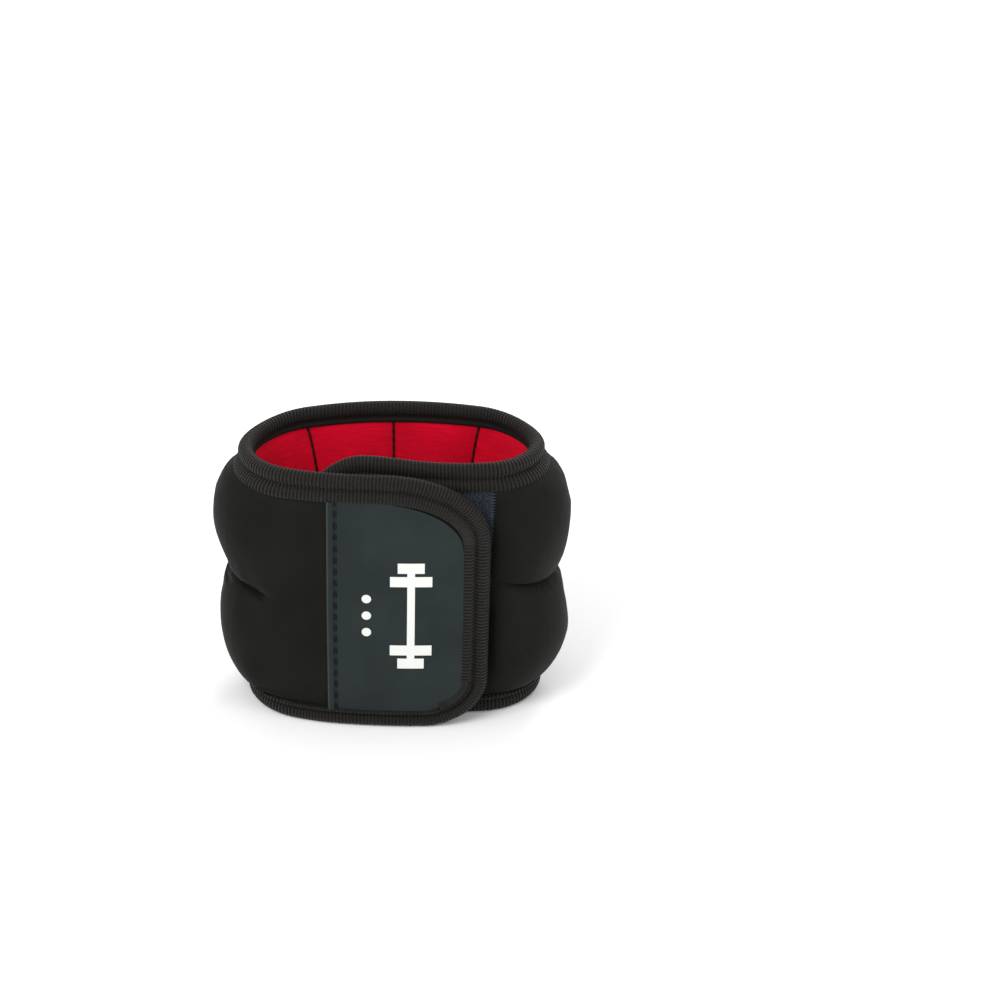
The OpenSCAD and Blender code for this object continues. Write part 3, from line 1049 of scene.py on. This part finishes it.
def sew(label, lines, outs, pitch, shape, replaced, zones=None, thread=THREAD):
    """Stitches along lines of (along, up) points, each line lying at its own distance out."""
    points, edges = [], []
    for line in lines:
        edges += [(len(points) + i, len(points) + i + 1) for i in range(len(line) - 1)]
        points += [(s, 0, z) for s, z in line]
    flat, faces = grown(SET_ALONG, points, edges, [], shape, thread, Pitch=pitch)
    size = len(shape[0])
    middle = own_middle(flat, size)
    flat[:, 1] += outs(middle[:, 0], middle[:, 2])
    lay_repeats(label, flat, faces, size, thread, replaced, zones)


def make_channel_seams():
    """The cross seams that close the channels, seen on the lining."""
    ups = np.linspace(INNER_BAND + 0.5, HEIGHT - INNER_BAND - 0.5, 30)
    lines = [[(k * CHANNEL + 0.01, z) for z in ups] for k in range(-3, 4)]
    sew("channel_seam", lines, lambda s, z: lining_back(s, z) - 0.12, 2.9,
        stitch_shape(2.3, 0.55), {})


# ---------------------------------------------------------------- label and closure

LABEL_LOW = LABEL_SEAM - 1.6        # folded edge of the label
LABEL_HIGH = FLAP_TIP - BAND + 0.4
LABEL_TOP = BAND - 0.4
LABEL_FOOT = FOOT_BAND - 0.4
LABEL_BACK = FACE - 0.2
STITCH_ROW = LABEL_SEAM + 1.1


def label_face(along, up):
    """The label lies flat, with its straight edge folded under and sewn down."""
    fold = 0.6 * np.sqrt(np.clip(1 - ((along - LABEL_LOW - 1.1) / 1.15) ** 2, 0, 1))
    pulled = -0.3 * np.exp(-((along - STITCH_ROW) / 0.5) ** 2)
    soft = 0.25 * np.sin(np.pi * np.clip((up - BAND) / (HEIGHT - 2 * BAND), 0, 1)) ** 0.5
    past = step_up(along, LABEL_SEAM + 2, LABEL_SEAM + 9)
    return FACE + 0.95 + fold + pulled + soft * past


def make_label():
    flap_zone = [zone_of("flap")]
    along = np.concatenate([np.linspace(LABEL_LOW, LABEL_SEAM + 2.4, 34),
                            np.linspace(LABEL_SEAM + 3.2, LABEL_HIGH, 48)])
    rows = 64
    s, v = np.meshgrid(along, np.linspace(-1, 1, rows), indexing="ij")
    up = HEIGHT / 2 + v * np.where(v > 0, reach(s, LABEL_TOP, True, LABEL_TOP_CORNER),
                                   reach(s, LABEL_FOOT, False, LABEL_FOOT_CORNER))
    flat = skins(s, up, label_face(s, up), np.full_like(s, LABEL_BACK))
    label = cut_into_zones("label", flat, shell(len(along), rows), LABEL_SKIN,
                           {"flap": ["label_patch"]}, flap_zone)["flap"]
    ups = np.linspace(LABEL_FOOT + 1, HEIGHT - LABEL_TOP - 0.5, 40)
    sew("label_stitching", [[(STITCH_ROW, z) for z in ups]],
        lambda s, z: label_face(s, z) + 0.3, 3.9, stitch_shape(2.8, 0.85),
        {"flap": ["label_stitching"]}, flap_zone)


PRINT_LEVELS = (0.12, 0.02)         # the print's face and back, from the label's face
MARK_DOWN = 3.5                     # the print's middle is this far below the label's


def slab(blocks, columns=10, rows=4):
    """Thin closed blocks lying on the label, from (low, high, foot, top) oblongs."""
    points, faces = [], []
    for low, high, foot, top in blocks:
        start = len(points)
        s, z = np.meshgrid(np.linspace(low, high, columns), np.linspace(foot, top, rows),
                           indexing="ij")
        points += skins(s, z, *(label_face(s, z) + level for level in PRINT_LEVELS)).tolist()
        faces += [[start + i for i in f] for f in shell(columns, rows)]
    return points, faces


def disc(middle, up, r):
    """A thin closed disc lying on the label."""
    faces = []
    rings, sides = 4, 28
    spots = [(middle, up)]
    for ring in range(1, rings + 1):
        for k in range(sides):
            angle = 2 * math.pi * k / sides
            spots.append((middle + r * ring / rings * math.cos(angle),
                          up + r * ring / rings * math.sin(angle)))
    s, z = np.array(spots).T
    points = skins(s, z, *(label_face(s, z) + level for level in PRINT_LEVELS)).tolist()
    one = len(spots)
    for base, turn in ((0, True), (one, False)):
        for k in range(sides):
            n = (k + 1) % sides
            face = [base, base + 1 + k, base + 1 + n]
            faces.append(face[::-1] if turn else face)
            for ring in range(rings - 1):
                a, b = base + 1 + ring * sides + k, base + 1 + ring * sides + n
                face = [a, a + sides, b + sides, b]
                faces.append(face[::-1] if turn else face)
    rim = 1 + (rings - 1) * sides
    for k in range(sides):
        n = (k + 1) % sides
        faces.append([rim + k, rim + n, one + rim + n, one + rim + k][::-1])
    return points, faces


def make_mark():
    """A plain dumbbell printed upright, with a column of three dots beside it."""
    bar, length, at, side = 2.4, 38.0, LABEL_SEAM + 25, 14.0
    middle = HEIGHT / 2 - MARK_DOWN
    steps = [(0.0, 1.5 * bar, 1.75 * bar), (1.5 * bar, 2.0 * bar, 0.5 * bar),
             (2.0 * bar, 3.5 * bar, 2.75 * bar)]
    blocks = []
    for low, high, half in steps:
        blocks.append((at - half, at + half, middle - length / 2 + low,
                       middle - length / 2 + high))
        blocks.append((at - half, at + half, middle + length / 2 - high,
                       middle + length / 2 - low))
    plain = length / 2 - 3.5 * bar
    blocks.append((at - bar / 2, at + bar / 2, middle - plain, middle + plain))
    points, faces = slab(blocks)
    for k in (-1, 0, 1):
        more, sides = disc(at - side, middle + k * bar * 2.5, bar * 0.62)
        faces += [[i + len(points) for i in f] for f in sides]
        points += more
    cut_into_zones("label_mark", points, faces, PRINT, {"flap": ["label_mark"]},
                   [zone_of("flap")])


UNDER_TAPE = 6.4                    # the closure tapes stop this far inside the edge
LOOP_LOW, LOOP_HIGH = LANDING_TIP + 10, -SEAM + 2
HOOK_LOW, HOOK_HIGH, HOOK_TALL = LABEL_SEAM + 8, LABEL_SEAM + 42, 70.0
LOOP_TALL = HEIGHT - BAND - FOOT_BAND - 1.5
LOOP_SLANT = 3.6                    # the loop tape's foot lies this far askew


def patch(label, low, high, tall, near, far, material, replaced, zone, slant=0.0):
    """A flat tape sewn on: a thin closed oblong with softened edges, askew at its foot."""
    cells = 40
    ups = np.linspace(HEIGHT / 2 - tall / 2, HEIGHT / 2 + tall / 2, cells)
    s, up = np.meshgrid(np.linspace(low, high, cells), ups, indexing="ij")
    up = np.clip(up, HEIGHT / 2 - reach(s, UNDER_TAPE, False),
                 HEIGHT / 2 + reach(s, UNDER_TAPE, True))
    shift = cover_face(s, up) - FACE if far > near else 0
    rim = np.minimum(np.minimum(s - low, high - s),
                     np.minimum(up - up.min(1, keepdims=True),
                                up.max(1, keepdims=True) - up))
    soft = np.clip(rim / 1.2, 0, 1) ** 0.5
    s = s - slant * (ups[-1] - up) / tall
    face = near + (far - near) * (0.45 + 0.55 * soft) + shift
    back = np.full_like(s, near) + shift
    flat = skins(s, up, *((face, back) if far > near else (back, face)))
    piece = cut_into_zones(label, flat, shell(cells, cells), material, replaced, [zone])
    return piece[zone_name(zone)]


def strew(label, low, high, tall, out, spacing, density, turn, shape, material, zone,
          slant=0.0):
    """Strews small shapes over a patch of tape."""
    foot, top = HEIGHT / 2 - tall / 2, HEIGHT / 2 + tall / 2
    corners = [(low, 0, foot), (high, 0, foot), (high, 0, top), (low, 0, top)]
    flat, faces = grown(STREW, corners, [], [[0, 1, 2, 3]], shape, material,
                        Spacing=spacing, Density=density, Turn=turn)
    flat[:, 0] -= slant * (top - flat[:, 2])
    flat[:, 1] = out(*flat.T)
    size = len(shape[0])
    s, _, z = flat.reshape(-1, size, 3).mean(1).T
    inside = ((z < HEIGHT / 2 + reach(s, UNDER_TAPE + 0.6, True))
              & (z > HEIGHT / 2 - reach(s, UNDER_TAPE + 0.6, False)))
    faces = [f for f in faces if inside[f[0] // size]]
    lay_repeats(label, flat, faces, size, material, {}, [zone])


def loop_shape(height=1.0, width=1.1, thick=0.16):
    """One loop of pile: a fine thread that arches over."""
    sides, rings = 4, 8
    points = []
    for i in range(rings):
        angle = math.pi * i / (rings - 1)
        for k in range(sides):
            around = 2 * math.pi * k / sides
            arch = 1 + thick * math.cos(around)
            points.append((width / 2 * arch * math.cos(angle),
                           height * arch * math.sin(angle),
                           thick * math.sin(around) + 0.25 * math.sin(2 * angle)))
    return points, tube(rings, sides)


def hook_shape(height=1.1, thick=0.13):
    """One hook: a stiff thread that stands up and turns over."""
    sides, rings = 4, 8
    stem, curl, turn = 0.45, 0.28, math.radians(200)
    points = []
    for i in range(rings):
        t = i / (rings - 1)
        bend = max(0.0, (t - stem) / (1 - stem)) * turn
        x = curl * (1 - math.cos(bend))
        y = height * min(t / stem, 1) * 0.7 + curl * math.sin(bend)
        for k in range(sides):
            around = 2 * math.pi * k / sides
            points.append((x + thick * math.cos(around) * math.cos(bend),
                           y + thick * math.cos(around) * math.sin(bend),
                           thick * math.sin(around)))
    return points, tube(rings, sides, inside_out=True)


def make_closure():
    flap, landing = zone_of("flap"), zone_of("landing")
    loops = patch("loop_patch", LOOP_LOW, LOOP_HIGH, LOOP_TALL, FACE, FACE + 0.6, PILE,
                  {"landing": ["loop_patch"]}, landing, slant=LOOP_SLANT)
    strew("loop_pile", LOOP_LOW + 0.6, LOOP_HIGH - 0.8, LOOP_TALL - 0.8,
          lambda s, y, z: cover_face(s, z) + 0.35 + y * 0.85, 0.85, 3.0, math.pi,
          loop_shape(), PILE, landing, slant=LOOP_SLANT / LOOP_TALL)
    top = HEIGHT / 2 + LOOP_TALL / 2
    edge = [(LOOP_HIGH - 0.1 - LOOP_SLANT * (top - z) / LOOP_TALL, z)
            for z in np.linspace(top, HEIGHT / 2 - LOOP_TALL / 2, 60)]
    stitch, sides = stitch_shape(1.7, 0.34)
    across = ([(z, out, x) for x, out, z in stitch], [f[::-1] for f in sides])
    sew("loop_patch_edge", [edge], lambda s, z: cover_face(s, z) + 0.55, 0.95, across, {},
        [landing], EDGE_THREAD)
    hooks = patch("hook_patch", HOOK_LOW, HOOK_HIGH, HOOK_TALL, -FACE, -FACE - 0.5, HOOK_TAPE,
                  {"flap": ["hook_patch"]}, flap)
    strew("hooks", HOOK_LOW + 0.6, HOOK_HIGH - 0.6, HOOK_TALL - 1,
          lambda s, y, z: -FACE - 0.35 - y * 0.7, 1.0, 2.2, math.pi, hook_shape(), HOOK_TAPE,
          flap)


# ---------------------------------------------------------------- filling

WELD = 1.2                          # width of a bag's flat welded rim
BAG_GAP, CREASE_GAP = 3.0, 3.5      # a bag stops this far short of its channel's seams
SAND_OUT, SAND_IN = 8.0, 0.9        # how far a full bag swells to either side


def bag(low, high, foot, top, out_swell, in_swell, material, name, node, slot, body):
    """A sealed bag with a flat welded rim, filled at its middle."""
    cells = 26
    t = np.linspace(0, 1, cells)
    s, up = np.meshgrid(low + (high - low) * t, foot + (top - foot) * t, indexing="ij")
    rim = np.minimum(np.minimum(s - low, high - s), np.minimum(up - foot, top - up))
    fill = np.clip((rim - WELD) / (min(high - low, top - foot) / 2 - WELD), 0, 1)
    dome = np.sin(np.pi / 2 * fill) ** 0.75
    lumps = 1 + 0.05 * np.sin(s * 1.3 + up * 0.9) * np.sin(up * 1.1 - s * 0.4)
    flat = skins(s, up, 0.12 + out_swell * dome * lumps, -0.12 - in_swell * dome * lumps)
    piece = mesh_piece(name, wrap(flat), shell(cells, cells), material, flat)
    crisp(piece)
    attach(piece, body)
    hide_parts(node)


def make_filling():
    """Two bags of iron sand to each channel, and the foam in the root."""
    for side, sign in (("left", 1), ("right", -1)):
        for k, part in enumerate(("back", "side", "front")):
            ends = sorted((sign * (k * CHANNEL + BAG_GAP), sign * ((k + 1) * CHANNEL - BAG_GAP)))
            body = f"{part}_{side}"
            slack = 0.45 if part == "front" else 0.62
            for row, foot, top in (("lower", BAND + 2, CREASE - CREASE_GAP),
                                   ("upper", CREASE + CREASE_GAP, HEIGHT - BAND - 2)):
                node = f"{body}_{row}_pouch"
                bag(*ends, foot, top, SAND_OUT * slack, SAND_IN, POUCH_CLOTH, f"{node}_bag",
                    node, "iron_sand_pouch", body)
    bag(SEAM + 1.2, LABEL_SEAM - 1.2, BAND, HEIGHT - BAND, 0.3, 0.15, FOAM,
        "root_foam", "root_pad", "foam_pad", "flap_root")


# ---------------------------------------------------------------- floor, light and camera

def make_floor():
    half = 3.0
    points = [(-half, -half, 0), (half, -half, 0), (half, half, 0), (-half, half, 0)]
    finish = Finish("floor_white", 0.85, specular=0.2)
    finish.colour(finish.blend(finish.noise(finish.solid(), 0.002, 1.0), (0.86, 0.86, 0.86),
                               (0.88, 0.88, 0.88)))
    mesh_piece("floor", points, [[0, 1, 2, 3]], finish.material)


def soft_light(name, place, aim, size, power):
    data = bpy.data.lights.new(name, "AREA")
    data.shape = "DISK"
    data.size = size
    data.energy = power
    light = in_scene(name, data)
    light.location = place
    light.rotation_euler = (Vector(aim) - Vector(place)).to_track_quat("-Z", "Y").to_euler()


def light_studio(centre):
    bpy.context.scene.view_settings.view_transform = "Standard"
    world = bpy.data.worlds.new("studio")
    bpy.context.scene.world = world
    world.use_nodes = True
    backdrop = world.node_tree.nodes["Background"]
    backdrop.inputs["Color"].default_value = (1, 1, 1, 1)
    backdrop.inputs["Strength"].default_value = 0.85
    soft_light("key", (-0.55, -0.75, 1.05), centre, 0.7, 11.0)
    soft_light("fill", (0.95, -0.55, 0.6), centre, 0.9, 4.0)
    soft_light("rim", (0.35, 0.9, 0.75), centre, 0.6, 6.0)


def set_camera(centre):
    """Looks along +Y from above, with the cuff left of the middle and low in the frame."""
    distance, elevation, right, raised = 1.295, math.radians(29), 0.035, 0.0198
    data = bpy.data.cameras.new("camera")
    data.lens, data.sensor_width = 144, 36
    data.clip_start = 0.05
    camera = in_scene("camera", data)
    back = Vector((0, -math.cos(elevation), math.sin(elevation)))
    upwards = Vector((0, math.sin(elevation), math.cos(elevation)))
    aim = Vector(centre) + Vector((right, 0, 0)) + upwards * raised
    camera.location = aim + back * distance
    camera.rotation_euler = (-back).to_track_quat("-Z", "Y").to_euler()
    bpy.context.scene.camera = camera


CENTRE = (0.0, 0.0, HEIGHT / 2 * MM)
set_camera(CENTRE)
light_studio(CENTRE)
make_floor()
make_cover()
make_lining()
make_binding()
make_ribs()
make_channel_seams()
make_label()
make_mark()
make_closure()
make_filling()
